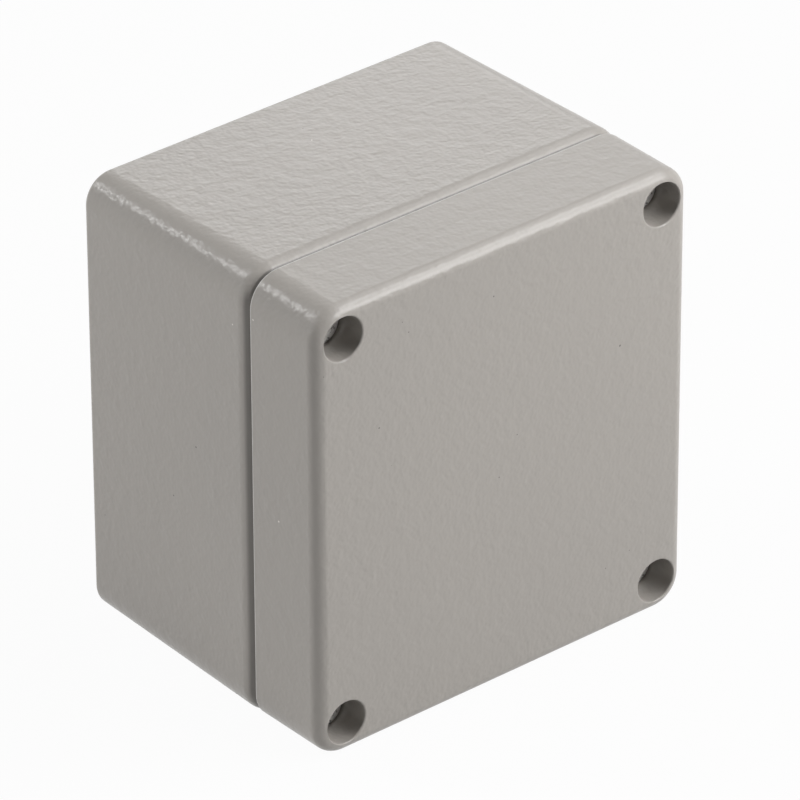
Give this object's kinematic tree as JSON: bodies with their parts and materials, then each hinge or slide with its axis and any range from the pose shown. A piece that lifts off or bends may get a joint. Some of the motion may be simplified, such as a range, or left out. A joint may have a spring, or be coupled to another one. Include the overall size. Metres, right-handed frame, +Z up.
{
  "type": "die cast aluminium box",
  "caption": "Small painted die cast enclosure: deep base, shallow screwed lid with captive screws in wells, seal, and wall fixing holes under the lid.",
  "frame": {"origin": "on the surface that the box stands on, under the middle of its overall box", "axes": "+Z up as the picture shows it, -Y out of the lid's face, +Y into the wall that the back is fixed to, +X to the right seen from the lid"},
  "size_m": [0.075, 0.057, 0.08],
  "materials": {
    "base_paint": "cast, with a fine grained silver grey paint",
    "lid_paint": "cast, with a fine grained silver grey paint",
    "seal": "black closed sponge rubber",
    "screw_steel": "bright stainless steel",
    "ring_nylon": "natural nylon",
    "earth_steel": "zinc plated steel",
    "earth_brass": "plain brass"
  },
  "bodies": {
    "base": {"base_casting": "base_paint"},
    "lid": {"lid_casting": "lid_paint", "lid_seal": "seal"},
    "ring_top_left": {"screw_ring_top_left": "ring_nylon"},
    "screw_top_left": {"lid_screw_top_left": "screw_steel"},
    "ring_top_right": {"screw_ring_top_right": "ring_nylon"},
    "screw_top_right": {"lid_screw_top_right": "screw_steel"},
    "ring_bottom_left": {"screw_ring_bottom_left": "ring_nylon"},
    "screw_bottom_left": {"lid_screw_bottom_left": "screw_steel"},
    "ring_bottom_right": {"screw_ring_bottom_right": "ring_nylon"},
    "screw_bottom_right": {"lid_screw_bottom_right": "screw_steel"},
    "earth_washers": {"earth_clamp": "earth_brass", "earth_spring_washer": "earth_steel"},
    "earth_screw": {"earth_screw": "earth_steel"}
  },
  "joints": [
    {"name": "lid_lift_off", "type": "slide", "parent": "base", "child": "lid", "axis": [0, -1, 0], "range_m": [0, 0.06]},
    {"name": "turn_top_left", "type": "hinge", "parent": "lid", "child": "ring_top_left", "pos_m": [-0.03175, -0.013, 0.07425], "axis": [0, -1, 0], "range_deg": [0, 3909]},
    {"name": "rise_top_left", "type": "slide", "parent": "ring_top_left", "child": "screw_top_left", "axis": [0, -1, 0], "range_m": [0, 0.0076]},
    {"name": "turn_top_right", "type": "hinge", "parent": "lid", "child": "ring_top_right", "pos_m": [0.03175, -0.013, 0.07425], "axis": [0, -1, 0], "range_deg": [0, 3909]},
    {"name": "rise_top_right", "type": "slide", "parent": "ring_top_right", "child": "screw_top_right", "axis": [0, -1, 0], "range_m": [0, 0.0076]},
    {"name": "turn_bottom_left", "type": "hinge", "parent": "lid", "child": "ring_bottom_left", "pos_m": [-0.03175, -0.013, 0.00575], "axis": [0, -1, 0], "range_deg": [0, 3909]},
    {"name": "rise_bottom_left", "type": "slide", "parent": "ring_bottom_left", "child": "screw_bottom_left", "axis": [0, -1, 0], "range_m": [0, 0.0076]},
    {"name": "turn_bottom_right", "type": "hinge", "parent": "lid", "child": "ring_bottom_right", "pos_m": [0.03175, -0.013, 0.00575], "axis": [0, -1, 0], "range_deg": [0, 3909]},
    {"name": "rise_bottom_right", "type": "slide", "parent": "ring_bottom_right", "child": "screw_bottom_right", "axis": [0, -1, 0], "range_m": [0, 0.0076]},
    {"name": "earth_rise", "type": "slide", "parent": "base", "child": "earth_washers", "axis": [0, -1, 0], "range_m": [0, 0.004]},
    {"name": "earth_turn", "type": "hinge", "parent": "earth_washers", "child": "earth_screw", "pos_m": [0.0265, 0.0166, 0.04], "axis": [0, -1, 0], "range_deg": [0, 2058]}
  ],
  "couplings": [
    {"joint": "turn_top_left", "follows": "rise_top_left", "rad_per_m": 8976},
    {"joint": "turn_top_right", "follows": "rise_top_right", "rad_per_m": 8976},
    {"joint": "turn_bottom_left", "follows": "rise_bottom_left", "rad_per_m": 8976},
    {"joint": "turn_bottom_right", "follows": "rise_bottom_right", "rad_per_m": 8976},
    {"joint": "earth_turn", "follows": "earth_rise", "rad_per_m": 8976}
  ]
}
